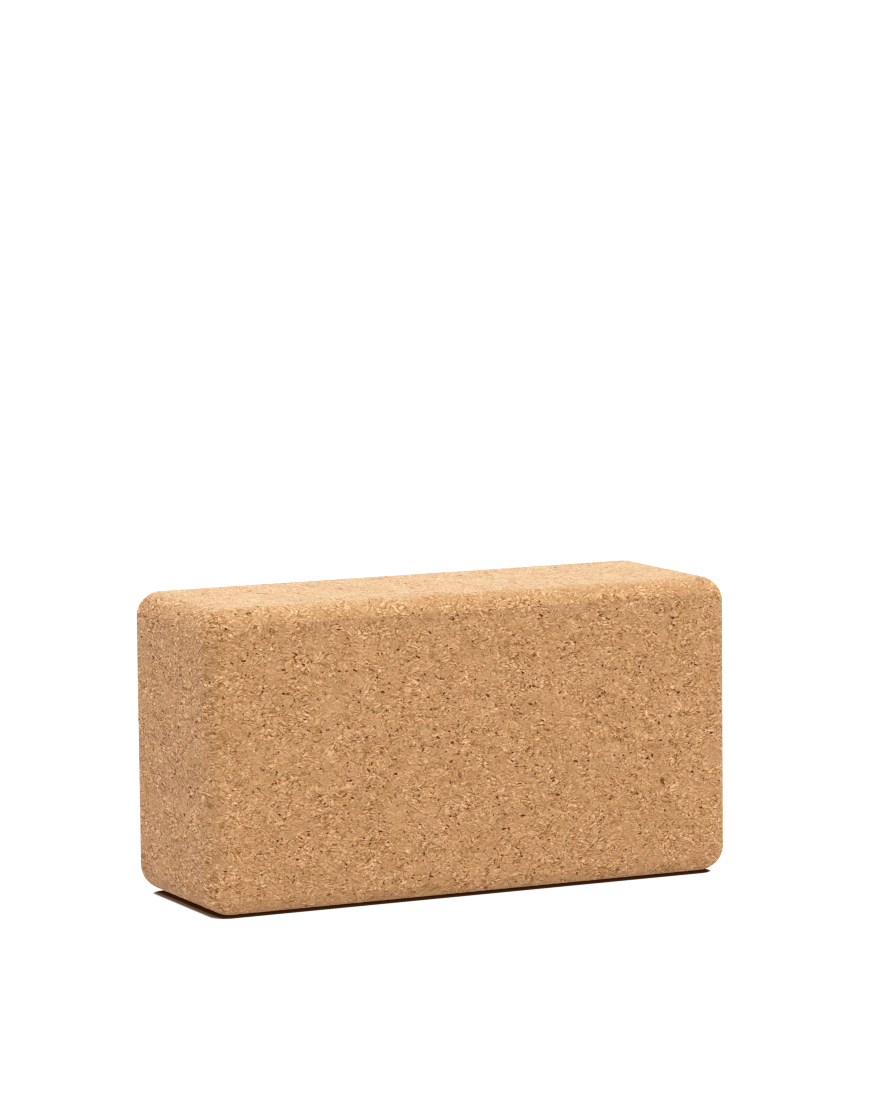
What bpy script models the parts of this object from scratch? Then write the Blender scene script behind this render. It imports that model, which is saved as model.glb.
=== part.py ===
"""Cork yoga block for Blender 4.5, in metres with +Z up.

The block is a single piece, and the model is made in the order that a workshop makes the real one. Cork granules and
binder are pressed into a slab, and a blank is sawn from it, a little too thick. All twelve edges are run past a
quarter-round cutter. Last, the two broad faces are sanded down to the finished thickness, which takes off the start
of each round and leaves a crisp line around both broad faces, while the other four sides run smoothly into theirs.

It stands on one of its two narrow long sides, as in use under a hand: length along X, thickness along Y, height
along Z. The origin is the middle of that side, so z = 0 is the surface that the block rests on.
"""

import math

import bmesh
import bpy

# Driving dimensions of the finished block
LENGTH = 0.2286
THICKNESS = 0.08255
HEIGHT = 0.12065
EDGE_RADIUS = 0.0103

# Sanded off each broad face after the edges are rounded
SANDING_DEPTH = 0.0008

# Flats along each quarter-round: with this many they stay within 0.03 mm of the true arc
EDGE_SEGMENTS = 12

# An angle between two flats of a round, 7.5 degrees, and that of the sanded line, about 23 degrees
LINE_ANGLE = math.radians(15)

# Cork as the eye sees it from arm's length, in linear red, green and blue
CORK_COLOUR = (0.535, 0.295, 0.145)
CORK_ROUGHNESS = 0.85


def clear_scene():
    for old in list(bpy.data.objects):
        bpy.data.objects.remove(old, do_unlink=True)


def cork_material():
    material = bpy.data.materials.new("agglomerated_cork")
    material.use_nodes = True
    shader = material.node_tree.nodes["Principled BSDF"]
    shader.inputs["Base Color"].default_value = (*CORK_COLOUR, 1.0)
    shader.inputs["Roughness"].default_value = CORK_ROUGHNESS
    shader.inputs["Metallic"].default_value = 0.0
    material.diffuse_color = (*CORK_COLOUR, 1.0)
    return material


def saw_blank():
    """The square-edged blank, centred on the origin in X and Y, with its lower side on z = 0."""
    blank = bmesh.new()
    sawn_thickness = THICKNESS + 2 * SANDING_DEPTH
    bmesh.ops.create_cube(blank, size=1.0)
    bmesh.ops.scale(blank, vec=(LENGTH, sawn_thickness, HEIGHT), verts=blank.verts)
    bmesh.ops.translate(blank, vec=(0.0, 0.0, HEIGHT / 2), verts=blank.verts)
    return blank


def round_edges(body):
    """One cutter rounds every edge, so the three rounds that meet at a corner leave an eighth of a ball there."""
    bmesh.ops.bevel(
        body,
        geom=list(body.edges),
        affect="EDGES",
        offset_type="OFFSET",
        offset=EDGE_RADIUS,
        segments=EDGE_SEGMENTS,
        profile=0.5,
        clamp_overlap=True,
    )


def sand_broad_faces(body):
    """Cuts both broad faces back to the finished thickness and closes each with one flat face."""
    for side in (-1, 1):
        cut = bmesh.ops.bisect_plane(
            body,
            geom=[*body.verts, *body.edges, *body.faces],
            plane_co=(0.0, side * THICKNESS / 2, 0.0),
            plane_no=(0.0, side, 0.0),
            clear_outer=True,
        )
        rim = [part for part in cut["geom_cut"] if isinstance(part, bmesh.types.BMEdge)]
        bmesh.ops.edgeloop_fill(body, edges=rim)
    bmesh.ops.recalc_face_normals(body, faces=body.faces)


def finished_object(name, body, material):
    mesh = bpy.data.meshes.new(name)
    body.to_mesh(mesh)
    body.free()
    mesh.shade_smooth()
    mesh.set_sharp_from_angle(angle=LINE_ANGLE)
    mesh.materials.append(material)
    block = bpy.data.objects.new(name, mesh)
    bpy.context.scene.collection.objects.link(block)
    return block


def build():
    clear_scene()
    body = saw_blank()
    round_edges(body)
    sand_broad_faces(body)
    finished_object("cork_block", body, cork_material())


build()
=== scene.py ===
"""The looks of a cork yoga block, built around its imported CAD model, in metres.

The block stands on a narrow long side on a white sweep, as in the photograph. One mesh stands for the whole
block. It follows the CAD solid's flats, rounds and sanded line, and adds what the solid leaves out: open
pores, and the slight unevenness of the granules. Its cork is a solid texture, so the granules carry on
round every edge.
"""

import math
from collections import namedtuple

import bmesh
import bpy
import numpy as np
from mathutils import Matrix, Vector, noise
from mathutils.geometry import delaunay_2d_cdt
from mathutils.kdtree import KDTree


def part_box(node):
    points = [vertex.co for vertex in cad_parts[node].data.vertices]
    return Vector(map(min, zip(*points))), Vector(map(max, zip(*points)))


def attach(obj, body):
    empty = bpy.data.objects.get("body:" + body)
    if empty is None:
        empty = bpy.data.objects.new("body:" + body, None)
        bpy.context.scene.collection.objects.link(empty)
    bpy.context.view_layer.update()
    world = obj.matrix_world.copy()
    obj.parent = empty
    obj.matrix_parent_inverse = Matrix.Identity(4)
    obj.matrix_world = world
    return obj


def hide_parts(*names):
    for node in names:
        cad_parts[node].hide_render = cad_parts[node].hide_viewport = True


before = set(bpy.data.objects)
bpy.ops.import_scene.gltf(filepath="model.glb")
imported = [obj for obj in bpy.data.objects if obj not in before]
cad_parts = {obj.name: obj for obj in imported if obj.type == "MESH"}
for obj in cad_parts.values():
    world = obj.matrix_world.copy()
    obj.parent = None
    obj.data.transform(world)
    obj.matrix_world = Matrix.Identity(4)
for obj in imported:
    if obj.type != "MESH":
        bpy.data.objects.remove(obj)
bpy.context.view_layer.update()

MM = 0.001

# The numbers of the axes
X, Y, Z = range(3)

# The block's size, from the frame
BLOCK_LOW, BLOCK_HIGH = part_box("cork_block")
LENGTH, THICKNESS, HEIGHT = BLOCK_HIGH - BLOCK_LOW

# The cutter's radius, and what is sanded off each broad face, as in the part's source
EDGE_RADIUS = 10.3 * MM
SANDING_DEPTH = 0.8 * MM

# The block before sanding: half of each side, and half of the inner box that the rounds are drawn around
HALF = np.array([LENGTH / 2, THICKNESS / 2 + SANDING_DEPTH, HEIGHT / 2])
CORE = HALF - EDGE_RADIUS
BLOCK_CENTRE = np.array([0.0, 0.0, HEIGHT / 2])

# Half of each side measured over the surface, as far as the middle of the rounds
REACH = CORE + EDGE_RADIUS * math.pi / 4

# The mesh's points: how far apart they are, how far they stray as a share of that, the distance between
# their staggered rows, and how far they keep from the lines that are drawn first
POINT_SPACING = 1.38 * MM
POINT_JITTER = 0.30
ROW_HEIGHT = POINT_SPACING * math.sqrt(3) / 2
CLEARANCE = 0.52 * POINT_SPACING
SEED = 11

# Steps in each corner of the sanded line
SANDED_CORNER_STEPS = 5

# Points closer than this are one point: to the triangulation of a side, and where two sides meet
SAME_POINT = 1e-9
SEAM_WELD = 0.01 * MM

# The gap between the sides on the UV sheet
SHEET_GAP = 3 * MM

# Open pores cut into the mesh, and how much rarer they are on the rounds
BROAD_SIDE_PITS_PER_SQUARE_METRE = 17000
OTHER_PITS_PER_SQUARE_METRE = 8000
ROUND_PIT_SHARE = 0.35

# The chance that a place keeps its pore, and how much a noise raises or lowers it, which makes clusters
PIT_CHANCE = 0.35
CLUSTERING = 1.1
CLUSTER_SIZE = 6 * MM

# How far apart the sides along X, Y and Z lie in that noise, in steps of that size
CLUSTER_SLICE = 3.7

# How many places are tried for each pore that is wanted
PIT_TRIES = 8

# How far a pore keeps from a line. It keeps half as far from another pore
PIT_MARGIN = 0.8 * MM

# The cells in which neighbouring pores are looked up, each of which holds one at most
PIT_CELL = 2 * MM

# A pore's length, its width as a share of that, its depth as a share of the width, and how dark the shade
# painted on its floor is
PIT_LENGTH_MEDIAN = 1.25 * MM
PIT_LENGTH_SPREAD = 0.38
PIT_LENGTH_LIMITS = (0.7 * MM, 3.2 * MM)
PIT_SLIMNESS = (0.30, 0.70)
PIT_WIDTH_LIMITS = (0.45 * MM, 0.95 * MM)
PIT_DEPTH_RATIO = (0.5, 0.95)
PIT_DARKNESS = (0.35, 1.0)

# The share of the pores that lie along the pressed layers, and how far these turn from them, in radians
PIT_LYING_SHARE = 0.6
PIT_HEADING_SPREAD = 0.8

# The rim's corners, how far each strays as a share of the step to the next, and how far in or out it lies
PIT_CORNERS = 8
PIT_CORNER_STRAY = 0.25
PIT_RAGGEDNESS = (0.72, 1.15)

# The floor's two points: how far they lie from the centre as a share of the length, and how far they stray
# as a share of the width
FLOOR_REACH = 0.24
FLOOR_STRAY = 0.12

# How far the surface falls between granules, on the flats and on the rounds
FLAT_RELIEF = 0.05 * MM
ROUND_RELIEF = 0.07 * MM
RELIEF_SIZE = 2.4 * MM
RELIEF_CONTRAST = 1.6

# A normal counts as that of a flat when its largest part is above this
FLAT_NORMAL = 0.9999

# Cork's texture lies in a space that is stretched along Y, pressed along Z and bent by a noise
PRESSING = (1.0, 0.7, 1.45)
BEND = 1.6 * MM
BEND_SIZE = 1.5 * MM
BEND_DETAIL = 2.0
BEND_ROUGHNESS = 0.6

# A tone is in levels of 255, above or below the mean. These are granules, smaller chips, and broad patches
GRANULE_SIZE = 4.2 * MM
GRANULE_TONE = 10.0
CHIP_SIZE = 1.7 * MM
CHIP_TONE = 6.0
MOTTLE_SIZE = 14.0 * MM
MOTTLE_TONE = 14.0

# Each granule's hue lies between these two, as factors of red, green and blue
WARM_TINT = (1.012, 0.985, 0.975, 1.0)
OLIVE_TINT = (0.988, 1.015, 1.0, 1.0)

# Fibres inside the granules, drawn out along X and Y. FIBRE_LEAN is how far apart those of two granules can
# lean, in radians
FIBRE_SIZE = 0.72 * MM
FIBRE_STRETCH = (0.16, 0.5, 1.0)
FIBRE_LEAN = 2.4
FLAKE_TONE = 21.0

# The palest and the darkest fibres, whose tone sets in at the noise's first value and is full at its second
PALE_FIBRE = (0.57, 0.70)
PALE_FIBRE_TONE = 17.0
DARK_FIBRE = (0.42, 0.29)
DARK_FIBRE_TONE = -18.0

# The fine grain
GRAIN_SIZE = 0.65 * MM
GRAIN_TONE = 9.0

# Cracks, which run where a noise comes within this width of its middle. Their dark tone is painted shade
# in them
CRACK_PITCH = 1.9 * MM
CRACK_WIDTH = 0.042
CRACK_TONE = -32.0

# The painted highlight on one side of each crack, standing for light from above that catches its lip
LIP_HIGHLIGHT_SHIFT = (0.1 * MM, 0.0, 0.75 * MM)
LIP_HIGHLIGHT_TONE = 19.0

# The dark seam round a granule and the pale rim inside it, in shares of the granule's size
SEAM_WIDTH = 0.07
SEAM_TONE = -33.0
RIM_PLACE = 0.13
RIM_WIDTH = 0.07
RIM_TONE = 24.0

# A noise breaks all these lines off: they are gone at its first value and whole at its second
BREAK_SIZE = 2.6 * MM
CRACK_BREAK = (0.46, 0.54)
SEAM_BREAK = (0.52, 0.42)
RIM_BREAK = (0.56, 0.48)

# How strongly fibres and cracks show from patch to patch, over this span of the patches' noise
VIGOUR = (0.25, 2.1)
VIGOUR_SPAN = (0.37, 0.66)
VIGOUR_SIZE = 10.0 * MM
VIGOUR_DETAIL = 3.0
VIGOUR_ROUGHNESS = 0.85

# How much more of that the two ends show, and how much less the top and the base, within this depth of them
END_VIGOUR = 1.18
LONG_SIDE_VIGOUR = 0.65
LONG_SIDE_CALM = 2.5 * MM

# Thin flakes of bark, the cells that they lie in, and the share of cells that hold one, times the vigour
SLIT_RADII = (1.05 * MM, 0.62 * MM, 0.32 * MM)
SLIT_CELL = 1.7 * MM
SLIT_SHARE = 0.09
SLIT_TONE = -110.0

# How much rarer they are on the narrow sides than on the broad faces
NARROW_SIDE_SLITS = 0.4

# How their size and darkness vary, and where their soft edge begins and ends, in shares of their radii
SLIT_SIZES = (0.55, 1.45)
SLIT_DARKNESS = (0.5, 1.2)
SLIT_EDGE = (0.75, 1.25)

# The one large dark fleck, near the right of the front
FLECK_PLACE = (82.6 * MM, -THICKNESS / 2, 39.8 * MM)
FLECK_RADII = (1.0 * MM, 1.0 * MM, 1.4 * MM)
FLECK_EDGE = (0.7, 1.2)
FLECK_TONE = -65.0

# The tone of the darkest painted shade on a pore's floor, over the shade that the pore's depth casts
PIT_TONE = -130.0

# The ramp from tone to colour: the tones at its ends, and how many stops it has
TONE_RANGE = (-130.0, 60.0)
TONE_STOPS = 9

# The colour of tone 0 as the camera shows it, what gloss adds to that, and the darkest colour that cork has
MEAN_LEVELS = (189.3, 142.2, 97.9)
GLOSS_SHARE = 0.015
DARKEST = (0.020, 0.008, 0.003)

# Bark is warmer than dark cork: below this tone, red and green fall more slowly than blue
BARK_BELOW = -45.0
BARK_FALL = (0.6, 0.75, 1.0)

# Dark cork is rougher than pale cork: between the two tones, roughness goes from one value to the other
ROUGH_TONES = (-60.0, 40.0)
ROUGHNESS = (0.75, 0.61)
SPECULAR_LEVEL = 0.26

# Bumps that are too fine for the mesh
BUMP_SIZE = 1.0 * MM
BUMP_DEPTH = 0.3 * MM

# The camera, as fitted to the block's outline in the 870 x 1096 photograph
FOCAL_PIXELS = 5003.0
PHOTO_HEIGHT = 1096
SENSOR = 36.0
CAMERA_PLACE = Vector((-0.8541, -1.8069, 0.3612))
CAMERA_YAW = math.radians(25.346)
CAMERA_PITCH = math.radians(6.4585)
CAMERA_ROLL = math.radians(0.598)
CAMERA_CLIP = (0.1, 200.0)

# The camera's shoulder: a brightness, and what it is shown as. It presses bright tones together
SHOULDER = (
    (0.25, 0.25),
    (0.50, 0.50),
    (0.72, 0.705),
    (0.84, 0.785),
    (0.955, 0.861),
    (1.06, 0.935),
    (1.20, 1.0),
)

# The view's curves 0 to 2 are for red, green and blue, and this one is for all three
COMBINED_CURVE = 3

# The width of a pixel's filter, in pixels, which gives the photograph's sharpness
FILTER_WIDTH = 1.25

# The room: its even light, the lit sweep behind the block, and a fill from the right. A light with a higher
# focus is narrower
WORLD_LIGHT = 0.442
SWEEP_LIGHT = 2.5
SWEEP_DIRECTION = (0.40, 0.85, 0.34)
SWEEP_FOCUS = 4.0
SIDE_LIGHT = 1.18
SIDE_DIRECTION = (0.656, -0.656, 0.375)
SIDE_FOCUS = 6.0

# The soft lamp overhead. Azimuth 0 is in front of the block, and 90 degrees is to its right
LAMP_AZIMUTH = math.radians(-30)
LAMP_ELEVATION = math.radians(83)
LAMP_STRENGTH = 0.92
LAMP_SPREAD = math.radians(60)

# The floor, and what it reflects and gives off to light the block
FLOOR_RADIUS = 250.0
FLOOR_CORNERS = 64
FLOOR_REFLECTANCE = (0.4, 0.4, 0.4, 1.0)
FLOOR_GLOW = 0.51

# The camera sees open floor and room alike, as over-exposed white
WHITE_SEEN = 1.35
BLACK = (0.0, 0.0, 0.0, 1.0)

# The contact shade painted on the floor, from its lowest X and Y to its highest. It falls short of the
# block's own outline where light comes in, which is from behind and from the right
SHADE_LOW = (-113.0 * MM, -40.6 * MM)
SHADE_HIGH = (108.0 * MM, 30.0 * MM)
SHADE_CORNER = 7.0 * MM

# Where its soft edge begins and ends, in shares of its corner's radius
SHADE_SOFTNESS = (0.85, 1.12)

# Its colours along the broad faces and along the ends, and where one turns into the other, measured
# outwards from the block's ends
FACE_SHADE = (0.08, 0.037, 0.015, 1.0)
END_SHADE = (0.24, 0.16, 0.13, 1.0)
END_ZONE = (-5.0 * MM, -3.8 * MM)

# One side of the block: the axis that it faces along, which way it faces, -1 or 1, and the two axes of its
# chart. Its patch of the UV sheet may be turned by a quarter, and starts at a corner, in metres
Chart = namedtuple("Chart", "out side across up turned corner")

# One open pore: the corners of its rim and the points of its floor on the chart, and the floor's depth
Pit = namedtuple("Pit", "rim floor depth")


class Graph:
    """Adds nodes to a node tree. A node's value may be a number, a colour or another node's output."""

    def __init__(self, tree):
        self.tree = tree

    def add(self, kind, **settings):
        node = self.tree.nodes.new(kind)
        for name, value in settings.items():
            setattr(node, name, value)
        return node

    def feed(self, socket, value):
        if isinstance(value, bpy.types.NodeSocket):
            self.tree.links.new(value, socket)
        else:
            socket.default_value = value

    def maths(self, operation, *values):
        node = self.add("ShaderNodeMath", operation=operation)
        for socket, value in zip(node.inputs, values):
            self.feed(socket, value)
        return node.outputs[0]

    def chain(self, operation, values):
        """Joins the values from left to right."""
        result, *others = values
        for other in others:
            result = self.maths(operation, result, other)
        return result

    def plus(self, *values):
        return self.chain("ADD", values)

    def minus(self, *values):
        return self.chain("SUBTRACT", values)

    def times(self, *values):
        return self.chain("MULTIPLY", values)

    def vector(self, operation, *values):
        node = self.add("ShaderNodeVectorMath", operation=operation)
        for socket, value in zip(node.inputs, values):
            self.feed(socket, value)
        return node.outputs["Value" if operation in ("LENGTH", "DOT_PRODUCT") else "Vector"]

    def scaled(self, vector, factor):
        node = self.add("ShaderNodeVectorMath", operation="SCALE")
        self.feed(node.inputs["Vector"], vector)
        self.feed(node.inputs["Scale"], factor)
        return node.outputs["Vector"]

    def turned(self, vector, angles):
        node = self.add("ShaderNodeVectorRotate", rotation_type="EULER_XYZ")
        self.feed(node.inputs["Vector"], vector)
        self.feed(node.inputs["Rotation"], angles)
        return node.outputs["Vector"]

    def stretch(self, value, low, high, to_low=0.0, to_high=1.0, smooth=False):
        """Maps low to to_low and high to to_high, and stops at both. Low may be above high."""
        node = self.add("ShaderNodeMapRange", clamp=True)
        node.interpolation_type = "SMOOTHSTEP" if smooth else "LINEAR"
        for name, end in (("From Min", low), ("From Max", high), ("To Min", to_low), ("To Max", to_high)):
            self.feed(node.inputs[name], end)
        self.feed(node.inputs["Value"], value)
        return node.outputs["Result"]

    def noise(self, place, size, detail=0.0, roughness=0.5, output="Fac"):
        node = self.add("ShaderNodeTexNoise", noise_dimensions="3D")
        self.feed(node.inputs["Vector"], place)
        self.feed(node.inputs["Scale"], 1.0 / size)
        self.feed(node.inputs["Detail"], detail)
        self.feed(node.inputs["Roughness"], roughness)
        return node.outputs[output]

    def cells(self, place, size, feature="F1"):
        node = self.add("ShaderNodeTexVoronoi", voronoi_dimensions="3D", feature=feature)
        self.feed(node.inputs["Vector"], place)
        self.feed(node.inputs["Scale"], 1.0 / size)
        return node

    def channels(self, colour):
        node = self.add("ShaderNodeSeparateXYZ")
        self.feed(node.inputs[0], colour)
        return node.outputs

    def ramp(self, value, stops):
        node = self.add("ShaderNodeValToRGB")
        elements = node.color_ramp.elements
        while len(elements) < len(stops):
            elements.new(0.5)
        for element, (position, colour) in zip(elements, stops):
            element.position = position
            element.color = (*colour, 1.0)
        self.feed(node.inputs[0], value)
        return node.outputs["Color"]

    def mix(self, factor, first, second):
        node = self.add("ShaderNodeMix", data_type="RGBA")
        self.feed(node.inputs["Factor"], factor)
        colours = [socket for socket in node.inputs if socket.type == "RGBA"]
        self.feed(colours[0], first)
        self.feed(colours[1], second)
        return next(socket for socket in node.outputs if socket.type == "RGBA")


def charts():
    """The six sides of the block. On the UV sheet, the ends lie beside a column of the other four."""
    length, thickness, height = 2 * REACH
    rows = [0.0]
    for side in (height, thickness, height):
        rows.append(rows[-1] + side + SHEET_GAP)
    column = length + SHEET_GAP
    return [
        Chart(out=Y, side=-1, across=X, up=Z, turned=False, corner=(0.0, rows[0])),
        Chart(out=Z, side=1, across=X, up=Y, turned=False, corner=(0.0, rows[1])),
        Chart(out=Y, side=1, across=Z, up=X, turned=True, corner=(0.0, rows[2])),
        Chart(out=Z, side=-1, across=Y, up=X, turned=True, corner=(0.0, rows[3])),
        Chart(out=X, side=-1, across=Z, up=Y, turned=True, corner=(column, rows[0])),
        Chart(out=X, side=1, across=Y, up=Z, turned=False, corner=(column, height + SHEET_GAP)),
    ]


def sheet_size():
    length, thickness, height = 2 * REACH
    return length + SHEET_GAP + thickness, 2 * height + 2 * thickness + 3 * SHEET_GAP


def uv_of(chart, over):
    """Places on the UV sheet, from 0 to 1, without mirroring a side."""
    reach = REACH[[chart.across, chart.up]]
    if chart.turned:
        spot = np.column_stack([reach[1] - over[:, 1], reach[0] + over[:, 0]])
    else:
        spot = over + reach
    return (spot + np.array(chart.corner)) / np.array(sheet_size())


def to_block(chart, over):
    """Turns places on a chart, in metres over the surface, into places on the block and normals there."""
    cube = np.empty((len(over), 3))
    for column, axis in enumerate((chart.across, chart.up)):
        along = over[:, column]
        beyond = np.clip(abs(along) - CORE[axis], 0.0, None)
        flat = np.clip(along, -CORE[axis], CORE[axis])
        cube[:, axis] = flat + np.sign(along) * EDGE_RADIUS * np.tan(beyond / EDGE_RADIUS)
    cube[:, chart.out] = chart.side * HALF[chart.out]
    core = np.clip(cube, -CORE, CORE)
    normal = cube - core
    normal /= np.linalg.norm(normal, axis=1)[:, None]
    place = core + EDGE_RADIUS * normal
    sanded = abs(place[:, Y]) > THICKNESS / 2
    place[sanded, Y] = np.sign(place[sanded, Y]) * THICKNESS / 2
    normal[sanded] = np.sign(place[sanded, Y])[:, None] * np.array([0.0, 1.0, 0.0])
    return place + BLOCK_CENTRE, normal


def stations(axis):
    count = round(2 * REACH[axis] / POINT_SPACING)
    return np.linspace(-REACH[axis], REACH[axis], count + 1)


def border_points(chart):
    """Points round the chart's border. Charts that meet get the same points along the axis they share."""
    across = stations(chart.across)
    up = stations(chart.up)
    low, right = -REACH[chart.up], REACH[chart.across]
    bottom = [(s, low) for s in across[:-1]]
    end = [(right, t) for t in up[:-1]]
    top = [(s, -low) for s in across[:0:-1]]
    start = [(-right, t) for t in up[:0:-1]]
    return np.array(bottom + end + top + start)


def sanded_line(chart):
    """The closed line, on a broad side's chart, where the sanded flat meets the rounds."""
    tilt = math.acos((EDGE_RADIUS - SANDING_DEPTH) / EDGE_RADIUS)
    points = []
    for quarter in range(4):
        sign_across = 1 if quarter in (0, 3) else -1
        sign_up = 1 if quarter in (0, 1) else -1
        arc = []
        for step in range(SANDED_CORNER_STEPS + 1):
            turn = math.pi / 2 * step / SANDED_CORNER_STEPS
            past_core_across = EDGE_RADIUS * math.atan(math.tan(tilt) * math.cos(turn))
            past_core_up = EDGE_RADIUS * math.atan(math.tan(tilt) * math.sin(turn))
            arc.append((
                sign_across * (CORE[chart.across] + past_core_across),
                sign_up * (CORE[chart.up] + past_core_up),
            ))
        points.extend(arc if quarter % 2 == 0 else arc[::-1])
    return evenly(np.array(points))


def evenly(loop):
    """Adds points along a closed line where two of its points lie further apart than the mesh's spacing."""
    filled = []
    for point, following in zip(loop, np.roll(loop, -1, axis=0)):
        steps = max(1, round(np.linalg.norm(following - point) / POINT_SPACING))
        for step in range(steps):
            filled.append(point + (following - point) * step / steps)
    return np.array(filled)


def tree_of(points):
    """A search tree for places on a chart."""
    tree = KDTree(len(points))
    for index, point in enumerate(points):
        tree.insert((*point, 0.0), index)
    tree.balance()
    return tree


def distance_to(tree, point):
    return tree.find((*point, 0.0))[2]


def make_pit(rng, centre, upright):
    """One open pore. Most pores lie roughly across the chart, or up it where upright is true."""
    length = np.clip(rng.lognormal(math.log(PIT_LENGTH_MEDIAN), PIT_LENGTH_SPREAD), *PIT_LENGTH_LIMITS)
    width = np.clip(length * rng.uniform(*PIT_SLIMNESS), *PIT_WIDTH_LIMITS)
    lies_along = rng.random() < PIT_LYING_SHARE
    heading = rng.normal(0.0, PIT_HEADING_SPREAD) if lies_along else rng.uniform(-math.pi / 2, math.pi / 2)
    if upright:
        heading += math.pi / 2
    stray = rng.uniform(-PIT_CORNER_STRAY, PIT_CORNER_STRAY, PIT_CORNERS)
    turn = (np.arange(PIT_CORNERS) + stray) * 2 * math.pi / PIT_CORNERS
    ragged = rng.uniform(*PIT_RAGGEDNESS, PIT_CORNERS)
    rim = np.column_stack([np.cos(turn) * length / 2, np.sin(turn) * width / 2]) * ragged[:, None]
    floor = np.array([[-FLOOR_REACH * length, 0.0], [FLOOR_REACH * length, 0.0]])
    floor[:, 1] += rng.uniform(-FLOOR_STRAY, FLOOR_STRAY, 2) * width
    spin = np.array([[math.cos(heading), -math.sin(heading)], [math.sin(heading), math.cos(heading)]])
    depth = width * rng.uniform(*PIT_DEPTH_RATIO)
    return Pit(centre + rim @ spin.T, centre + floor @ spin.T, depth)


def meets_another(taken, key, centre, size):
    """Whether a pore shares its cell with another, or comes too close to one in a cell beside it."""
    for i in (-1, 0, 1):
        for j in (-1, 0, 1):
            other = taken.get((key[0] + i, key[1] + j))
            if other and np.linalg.norm(other[0] - centre) < other[1] + size + PIT_MARGIN / 2:
                return True
    return key in taken


def scatter_pits(rng, chart, keep_off):
    """Pores at random over a chart, clear of the lines in keep_off and of each other."""
    reach = REACH[[chart.across, chart.up]]
    core = CORE[[chart.across, chart.up]]
    density = BROAD_SIDE_PITS_PER_SQUARE_METRE if chart.out == Y else OTHER_PITS_PER_SQUARE_METRE
    wanted = round(density * 4 * reach[0] * reach[1])
    lines = tree_of(keep_off)
    taken = {}
    pits = []
    for centre in rng.uniform(-reach, reach, (PIT_TRIES * wanted, 2)):
        if len(pits) == wanted:
            break
        crowd = noise.noise(Vector((*centre / CLUSTER_SIZE, CLUSTER_SLICE * chart.out + chart.side)))
        chance = PIT_CHANCE + CLUSTERING * crowd
        if (abs(centre) > core).any():
            chance *= ROUND_PIT_SHARE
        if rng.random() > chance:
            continue
        found = make_pit(rng, centre, upright=chart.across > chart.up)
        size = np.linalg.norm(found.rim - centre, axis=1).max()
        key = tuple(np.floor(centre / PIT_CELL).astype(int))
        if meets_another(taken, key, centre, size) or distance_to(lines, centre) < size + PIT_MARGIN:
            continue
        taken[key] = (centre, size)
        pits.append(found)
    return pits


def ground_points(rng, chart, drawn):
    """Loosely even points over the chart, in staggered rows, clear of every point that is already drawn."""
    tree = tree_of(drawn)
    reach = REACH[[chart.across, chart.up]]
    rows = np.arange(-reach[1] + ROW_HEIGHT, reach[1] - ROW_HEIGHT / 2, ROW_HEIGHT)
    points = []
    for number, t in enumerate(rows):
        start = -reach[0] + POINT_SPACING * (0.5 if number % 2 else 1.0)
        across = np.arange(start, reach[0] - POINT_SPACING / 3, POINT_SPACING)
        points.extend((s, t) for s in across)
    points = np.array(points)
    points += rng.uniform(-POINT_JITTER, POINT_JITTER, points.shape) * POINT_SPACING
    clear = [distance_to(tree, point) > CLEARANCE for point in points]
    return points[np.array(clear)]


def relief(place, normal):
    """How far the surface lies below the ideal one, which is more on the rounds than on the flats."""
    on_flat = np.abs(normal).max(axis=1) > FLAT_NORMAL
    depth = np.where(on_flat, FLAT_RELIEF, ROUND_RELIEF)
    waves = [noise.noise(Vector(point) / RELIEF_SIZE) for point in place]
    return depth * (0.5 + 0.5 * np.clip(np.array(waves) * RELIEF_CONTRAST, -1.0, 1.0))


def chart_mesh(rng, chart):
    """Places, triangles, pore values, chart places and sharp edges of one side of the block.

    The sharp edges are the sanded line and the rims of the pores.
    """
    border = border_points(chart)
    creases = [sanded_line(chart)] if chart.out == Y else []
    pits = scatter_pits(rng, chart, np.concatenate([border, *creases]))
    loops = [border, *creases, *[pit.rim for pit in pits]]
    floors = [pit.floor for pit in pits]
    drawn = np.concatenate(loops + floors)
    over = np.concatenate([drawn, ground_points(rng, chart, drawn)])

    edges = []
    first = 0
    for loop in loops:
        ring = np.arange(first, first + len(loop))
        edges.extend(zip(ring.tolist(), np.roll(ring, -1).tolist()))
        first += len(loop)
    sharp = edges[len(border):]

    sunk = np.zeros(len(over))
    pore = np.zeros(len(over))
    for pit in pits:
        last = first + len(pit.floor)
        sunk[first:last] = pit.depth
        pore[first:last] = rng.uniform(*PIT_DARKNESS)
        first = last

    flat = [Vector(point) for point in over.tolist()]
    points, _, triangles, *_ = delaunay_2d_cdt(flat, edges, [], 0, SAME_POINT, False)
    if len(points) != len(over):
        raise RuntimeError("two points of the cork mesh fell together")
    place, normal = to_block(chart, over)
    place = place - normal * (relief(place, normal) + sunk)[:, None]
    return place, np.array(triangles), pore, over, sharp


def cork_mesh():
    """One closed mesh for the whole block."""
    rng = np.random.default_rng(SEED)
    places, faces, pores, uvs, sharp = [], [], [], [], []
    count = 0
    for chart in charts():
        place, triangles, pore, over, edges = chart_mesh(rng, chart)
        places.append(place)
        faces.append(triangles + count)
        pores.append(pore)
        uvs.append(uv_of(chart, over))
        sharp.extend((a + count, b + count) for a, b in edges)
        count += len(place)
    faces = np.concatenate(faces)
    mesh = bpy.data.meshes.new("pressed_cork")
    mesh.from_pydata(np.concatenate(places), [], faces)
    layer = mesh.uv_layers.new(name="OFBake")
    layer.data.foreach_set("uv", np.concatenate(uvs)[faces.ravel()].ravel())
    # Each point's pore value sets the painted shade in a pore. It is 0 everywhere but on pore floors
    attribute = mesh.attributes.new("pore", "FLOAT", "POINT")
    attribute.data.foreach_set("value", np.concatenate(pores))
    mark_sharp(mesh, sharp)
    close_seams(mesh)
    mesh.shade_smooth()
    return mesh


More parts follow.
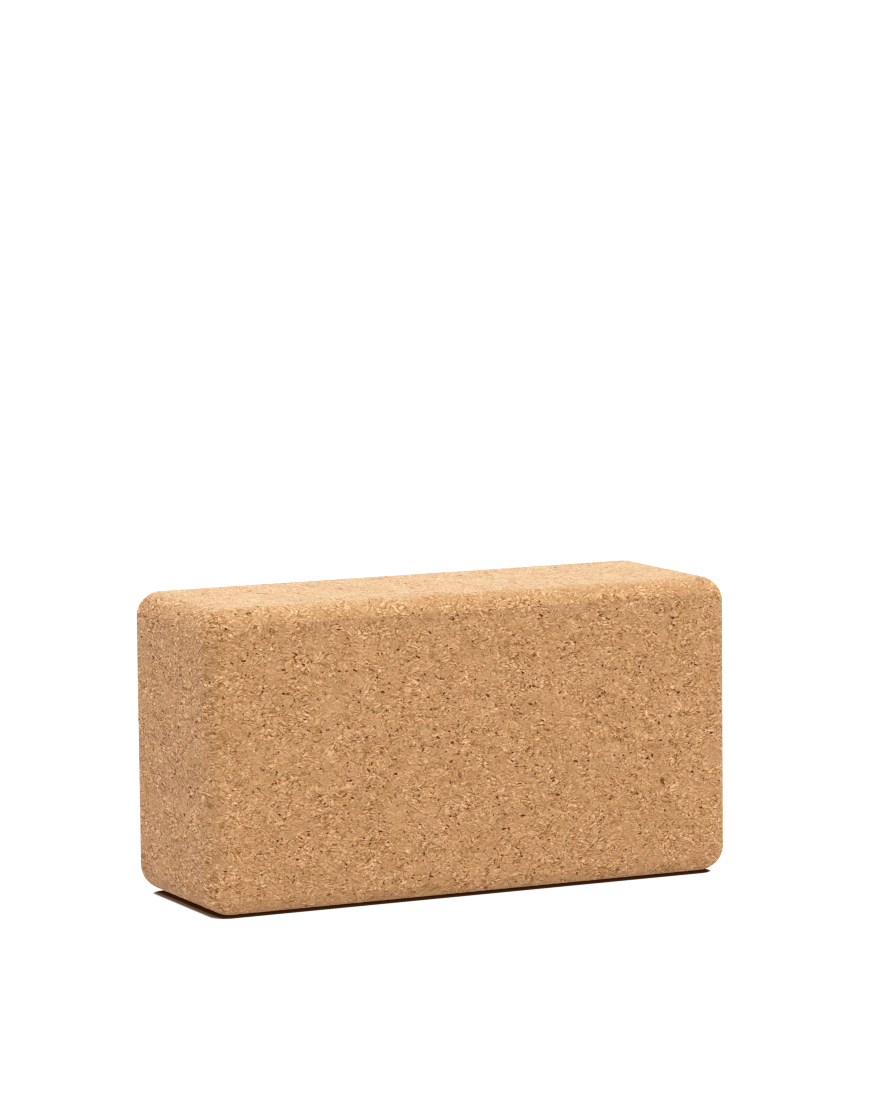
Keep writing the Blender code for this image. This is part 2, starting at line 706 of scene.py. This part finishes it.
def mark_sharp(mesh, pairs):
    ends = np.empty(2 * len(mesh.edges), dtype=np.int64)
    mesh.edges.foreach_get("vertices", ends)
    ends = np.sort(ends.reshape(-1, 2), axis=1)
    wanted = np.sort(np.array(pairs), axis=1)
    size = len(mesh.vertices)
    marked = np.isin(ends[:, 0] * size + ends[:, 1], wanted[:, 0] * size + wanted[:, 1])
    sharp = mesh.attributes.new("sharp_edge", "BOOLEAN", "EDGE")
    sharp.data.foreach_set("value", marked)


def close_seams(mesh):
    """Joins the charts where they meet, at the middle of the rounds."""
    body = bmesh.new()
    body.from_mesh(mesh)
    rim = [vertex for vertex in body.verts if vertex.is_boundary]
    bmesh.ops.remove_doubles(body, verts=rim, dist=SEAM_WELD)
    body.to_mesh(mesh)
    body.free()


def swell(graph, value, tone):
    """Turns a noise, or a granule's lot, from 0 to 1, into a tone that is 0 at its middle."""
    return graph.times(graph.minus(value, 0.5), tone)


def band(graph, value, middle, width):
    """1 where a value passes its middle, falling to 0 within the width on both sides."""
    away = graph.maths("ABSOLUTE", graph.minus(value, middle))
    return graph.stretch(away, 0.0, width, 1.0, 0.0)


def bent_space(graph, pressed):
    """The pressed space shifted to and fro, so that granules get crooked sides."""
    bend = graph.noise(pressed, BEND_SIZE, detail=BEND_DETAIL, roughness=BEND_ROUGHNESS, output="Color")
    return graph.vector("ADD", pressed, graph.scaled(graph.vector("SUBTRACT", bend, (0.5, 0.5, 0.5)), BEND))


def fibre_layers(graph, bent, granule):
    """Tones of the fibres and of the fine grain."""
    lean = graph.vector("SUBTRACT", granule, (0.5, 0.5, 0.5))
    leaning = graph.turned(bent, graph.scaled(lean, FIBRE_LEAN))
    fibre = graph.noise(graph.vector("MULTIPLY", leaning, FIBRE_STRETCH), FIBRE_SIZE)
    return [
        swell(graph, fibre, FLAKE_TONE),
        swell(graph, graph.noise(bent, GRAIN_SIZE), GRAIN_TONE),
        graph.stretch(fibre, *PALE_FIBRE, 0.0, PALE_FIBRE_TONE),
        graph.stretch(fibre, *DARK_FIBRE, 0.0, DARK_FIBRE_TONE),
    ]


def crack_lines(graph, place, broken):
    """Two sets of cracks. One set sets in where the other breaks off."""
    first, second, _ = graph.channels(graph.noise(place, CRACK_PITCH, output="Color"))
    return graph.plus(
        graph.times(band(graph, first, 0.5, CRACK_WIDTH), graph.stretch(broken, *CRACK_BREAK)),
        graph.times(band(graph, second, 0.5, CRACK_WIDTH), graph.stretch(broken, *reversed(CRACK_BREAK))),
    )


def crack_layers(graph, bent, broken):
    """Tones of the painted highlights on the cracks' lips and of the painted shade in the cracks."""
    return [
        graph.times(crack_lines(graph, graph.vector("ADD", bent, LIP_HIGHLIGHT_SHIFT), broken), LIP_HIGHLIGHT_TONE),
        graph.times(crack_lines(graph, bent, broken), CRACK_TONE),
    ]


def granule_outlines(graph, bent, broken):
    """Tones of the pale rims and the dark seams, on some stretches of the granules' sides."""
    edge = graph.cells(bent, GRANULE_SIZE, feature="DISTANCE_TO_EDGE").outputs["Distance"]
    rims = graph.times(band(graph, edge, RIM_PLACE, RIM_WIDTH), graph.stretch(broken, *RIM_BREAK))
    seams = graph.times(graph.stretch(edge, 0.0, SEAM_WIDTH, 1.0, 0.0), graph.stretch(broken, *SEAM_BREAK))
    return graph.plus(graph.times(rims, RIM_TONE), graph.times(seams, SEAM_TONE))


def slits(graph, place, share):
    """Thin flakes of bark, cut across by the surface: one in some of the cells, each turned its own way."""
    cell = graph.cells(place, SLIT_CELL)
    size, darkness, lot = graph.channels(cell.outputs["Color"])
    from_middle = graph.vector("SUBTRACT", place, cell.outputs["Position"])
    turned = graph.turned(from_middle, graph.scaled(cell.outputs["Color"], 2 * math.pi))
    radii_away = graph.vector("LENGTH", graph.vector("DIVIDE", turned, SLIT_RADII))
    away = graph.maths("DIVIDE", radii_away, graph.stretch(size, 0.0, 1.0, *SLIT_SIZES))
    inside = graph.stretch(away, *SLIT_EDGE, 1.0, 0.0, smooth=True)
    present = graph.maths("LESS_THAN", lot, share)
    return graph.times(inside, present, graph.stretch(darkness, 0.0, 1.0, *SLIT_DARKNESS))


def large_fleck(graph, place):
    """1 inside the large fleck, falling to 0 past its edge."""
    from_middle = graph.vector("SUBTRACT", place, FLECK_PLACE)
    away = graph.vector("LENGTH", graph.vector("DIVIDE", from_middle, FLECK_RADII))
    return graph.stretch(away, *FLECK_EDGE, 1.0, 0.0, smooth=True)


def cork_tone(graph, place, pressed, bent, granule):
    """All layers of the cork's tone, added up.

    They include painted shade in the cracks and pores, and painted highlights beside the cracks.
    """
    offset = graph.vector("SUBTRACT", place, tuple(BLOCK_CENTRE))
    from_centre = graph.channels(graph.vector("ABSOLUTE", offset))
    on_end = graph.stretch(from_centre[X], CORE[X], HALF[X], 1.0, END_VIGOUR, smooth=True)
    calm_from = HALF[Z] - LONG_SIDE_CALM
    on_long_side = graph.stretch(from_centre[Z], calm_from, HALF[Z], 1.0, LONG_SIDE_VIGOUR, smooth=True)
    patches = graph.noise(place, VIGOUR_SIZE, detail=VIGOUR_DETAIL, roughness=VIGOUR_ROUGHNESS)
    vigour = graph.times(on_end, on_long_side, graph.stretch(patches, *VIGOUR_SPAN, *VIGOUR))
    slit_share = graph.times(vigour, SLIT_SHARE, graph.times(*[
        graph.stretch(from_centre[axis], CORE[axis], HALF[axis], 1.0, NARROW_SIDE_SLITS) for axis in (X, Z)
    ]))

    broken = graph.noise(pressed, BREAK_SIZE, detail=1.0)
    texture = graph.plus(*fibre_layers(graph, bent, granule), *crack_layers(graph, bent, broken))
    chip = graph.cells(bent, CHIP_SIZE).outputs["Color"]
    pore = graph.add("ShaderNodeAttribute", attribute_name="pore").outputs["Fac"]
    return graph.plus(
        swell(graph, graph.channels(granule)[0], GRANULE_TONE),
        graph.times(texture, vigour),
        swell(graph, graph.channels(chip)[0], CHIP_TONE),
        swell(graph, graph.noise(pressed, MOTTLE_SIZE, detail=1.0), MOTTLE_TONE),
        graph.times(granule_outlines(graph, bent, broken), on_long_side),
        graph.times(slits(graph, bent, slit_share), SLIT_TONE),
        graph.times(large_fleck(graph, place), FLECK_TONE),
        graph.times(pore, PIT_TONE),
    )


def cork_material():
    """Pressed cork as a solid texture: granules flattened along Z, with pores, cracks, seams and bark."""
    material = bpy.data.materials.new("agglomerated_cork")
    material.use_nodes = True
    graph = Graph(material.node_tree)
    shader = material.node_tree.nodes["Principled BSDF"]

    place = graph.add("ShaderNodeTexCoord").outputs["Object"]
    pressed = graph.vector("MULTIPLY", place, PRESSING)
    bent = bent_space(graph, pressed)
    granule = graph.cells(bent, GRANULE_SIZE).outputs["Color"]
    tone = cork_tone(graph, place, pressed, bent, granule)

    colour = graph.ramp(graph.stretch(tone, *TONE_RANGE), tone_stops(*TONE_RANGE, TONE_STOPS))
    tint = graph.mix(graph.channels(granule)[1], WARM_TINT, OLIVE_TINT)
    graph.feed(shader.inputs["Base Color"], graph.vector("MULTIPLY", colour, tint))
    graph.feed(shader.inputs["Roughness"], graph.stretch(tone, *ROUGH_TONES, *ROUGHNESS))
    shader.inputs["Specular IOR Level"].default_value = SPECULAR_LEVEL

    bump = graph.add("ShaderNodeBump")
    graph.feed(bump.inputs["Strength"], 1.0)
    graph.feed(bump.inputs["Distance"], BUMP_DEPTH)
    graph.feed(bump.inputs["Height"], graph.noise(pressed, BUMP_SIZE))
    graph.feed(shader.inputs["Normal"], bump.outputs["Normal"])
    return material


def tone_stops(low, high, count):
    """Colours along the scale of tones.

    A darker or paler granule moves by as many levels in red as in green and blue. Bark falls by fewer in
    red and green than in blue.
    """
    stops = []
    for step in range(count):
        share = step / (count - 1)
        tone = low + (high - low) * share
        bark = BARK_BELOW + (tone - BARK_BELOW) * np.array(BARK_FALL)
        levels = np.array(MEAN_LEVELS) + np.maximum(tone, bark)
        colour = [
            max(before_shoulder(linear(level)) - GLOSS_SHARE, darkest)
            for level, darkest in zip(levels, DARKEST)
        ]
        stops.append((share, colour))
    return stops


def before_shoulder(value):
    """The brightness that the camera's shoulder turns into this value."""
    entered, shown = zip(*SHOULDER)
    return float(np.interp(value, (0.0, *shown), (0.0, *entered)))


def linear(level):
    """The brightness, from 0 to 1, of a level of 255 in the sRGB standard."""
    value = max(level, 0.0) / 255
    return value / 12.92 if value <= 0.04045 else ((value + 0.055) / 1.055) ** 2.4


def add_block():
    block = bpy.data.objects.new("pressed_cork_block", cork_mesh())
    bpy.context.scene.collection.objects.link(block)
    block.data.materials.append(cork_material())
    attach(block, "root")
    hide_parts("cork_block")


def add_camera():
    data = bpy.data.cameras.new("camera")
    data.sensor_width = SENSOR
    data.sensor_fit = "AUTO"
    data.lens = FOCAL_PIXELS / PHOTO_HEIGHT * SENSOR
    data.clip_start, data.clip_end = CAMERA_CLIP
    forward = Vector((
        math.sin(CAMERA_YAW) * math.cos(CAMERA_PITCH),
        math.cos(CAMERA_YAW) * math.cos(CAMERA_PITCH),
        -math.sin(CAMERA_PITCH),
    ))
    level = Vector((math.cos(CAMERA_YAW), -math.sin(CAMERA_YAW), 0.0))
    below = forward.cross(level)
    right = math.cos(CAMERA_ROLL) * level + math.sin(CAMERA_ROLL) * below
    down = -math.sin(CAMERA_ROLL) * level + math.cos(CAMERA_ROLL) * below
    camera = bpy.data.objects.new("camera", data)
    turn = Matrix((right, -down, -forward)).transposed().to_4x4()
    camera.matrix_world = Matrix.Translation(CAMERA_PLACE) @ turn
    bpy.context.scene.collection.objects.link(camera)
    bpy.context.scene.camera = camera


def open_floor(graph, place):
    """0 where the block shades the floor, 1 beyond: a rectangle with round corners and a soft edge."""
    squares = []
    for along, low, high in zip(place, SHADE_LOW, SHADE_HIGH):
        from_middle = graph.maths("ABSOLUTE", graph.minus(along, (low + high) / 2))
        in_corner = graph.maths("MAXIMUM", graph.minus(from_middle, (high - low) / 2 - SHADE_CORNER), 0.0)
        share = graph.maths("DIVIDE", in_corner, SHADE_CORNER)
        squares.append(graph.times(share, share))
    return graph.stretch(graph.maths("SQRT", graph.plus(*squares)), *SHADE_SOFTNESS, smooth=True)


def floor_material():
    """A white table lit from below, over-exposed to the camera as in the photograph.

    The camera sees it dark where the block covers it, as so bright a floor would otherwise shine under the
    rounded edges.
    """
    material = bpy.data.materials.new("white_floor")
    material.use_nodes = True
    material.node_tree.nodes.clear()
    graph = Graph(material.node_tree)
    place = graph.channels(graph.add("ShaderNodeTexCoord").outputs["Object"])
    seen = graph.add("ShaderNodeLightPath").outputs["Is Camera Ray"]
    clear = open_floor(graph, place)

    past_end = graph.minus(graph.maths("ABSOLUTE", place[X]), LENGTH / 2)
    shade = graph.mix(graph.stretch(past_end, *END_ZONE), FACE_SHADE, END_SHADE)
    paint = graph.add("ShaderNodeBsdfDiffuse")
    graph.feed(paint.inputs["Color"], graph.mix(seen, FLOOR_REFLECTANCE, graph.mix(clear, shade, BLACK)))

    glow = graph.add("ShaderNodeEmission")
    seen_glow = graph.stretch(clear, 0.0, 1.0, 0.0, WHITE_SEEN)
    graph.feed(glow.inputs["Strength"], graph.stretch(seen, 0.0, 1.0, FLOOR_GLOW, seen_glow))
    both = graph.add("ShaderNodeAddShader")
    graph.feed(both.inputs[0], paint.outputs["BSDF"])
    graph.feed(both.inputs[1], glow.outputs["Emission"])
    output = graph.add("ShaderNodeOutputMaterial")
    graph.feed(output.inputs["Surface"], both.outputs[0])
    material.cycles.emission_sampling = "NONE"
    return material


def add_floor():
    body = bmesh.new()
    bmesh.ops.create_circle(body, cap_ends=True, radius=FLOOR_RADIUS, segments=FLOOR_CORNERS)
    mesh = bpy.data.meshes.new("floor")
    body.to_mesh(mesh)
    body.free()
    mesh.materials.append(floor_material())
    floor = bpy.data.objects.new("floor", mesh)
    bpy.context.scene.collection.objects.link(floor)


def add_world():
    """A white room, brightest on the lit sweep behind the block. The camera sees it all as white."""
    world = bpy.data.worlds.new("white_room")
    world.use_nodes = True
    graph = Graph(world.node_tree)
    background = world.node_tree.nodes["Background"]
    direction = graph.add("ShaderNodeTexCoord").outputs["Generated"]
    lights = ((SWEEP_DIRECTION, SWEEP_FOCUS, SWEEP_LIGHT), (SIDE_DIRECTION, SIDE_FOCUS, SIDE_LIGHT))
    light = WORLD_LIGHT
    for towards, focus, strength in lights:
        facing = graph.maths("MAXIMUM", graph.vector("DOT_PRODUCT", direction, towards), 0.0)
        light = graph.maths("MULTIPLY_ADD", graph.maths("POWER", facing, focus), strength, light)
    seen = graph.add("ShaderNodeLightPath").outputs["Is Camera Ray"]
    white = (WHITE_SEEN, WHITE_SEEN, WHITE_SEEN, 1.0)
    graph.feed(background.inputs["Color"], graph.mix(seen, light, white))
    world.cycles.sampling_method = "NONE"
    bpy.context.scene.world = world


def add_lamp():
    """The far, soft lamp overhead. Its strength is about how bright a white surface is that faces it."""
    data = bpy.data.lights.new("overhead_softbox", "SUN")
    data.energy = LAMP_STRENGTH * math.pi
    data.angle = LAMP_SPREAD
    lamp = bpy.data.objects.new("overhead_softbox", data)
    towards = Vector((
        math.sin(LAMP_AZIMUTH) * math.cos(LAMP_ELEVATION),
        -math.cos(LAMP_AZIMUTH) * math.cos(LAMP_ELEVATION),
        math.sin(LAMP_ELEVATION),
    ))
    lamp.rotation_mode = "QUATERNION"
    lamp.rotation_quaternion = towards.to_track_quat("Z", "Y")
    bpy.context.scene.collection.objects.link(lamp)


def set_view():
    """The camera's shoulder and sharpness. Nothing is denoised, as that would smear the cork's grain."""
    scene = bpy.context.scene
    scene.view_settings.view_transform = "Standard"
    scene.view_settings.look = "None"
    scene.view_settings.use_curve_mapping = True
    mapping = scene.view_settings.curve_mapping
    mapping.use_clip = False
    curve = mapping.curves[COMBINED_CURVE]
    curve.points[1].location = SHOULDER[-1]
    for point in SHOULDER[:-1]:
        curve.points.new(*point)
    mapping.update()
    scene.cycles.use_denoising = False
    scene.cycles.filter_width = FILTER_WIDTH


add_camera()
add_world()
add_lamp()
add_floor()
set_view()
add_block()
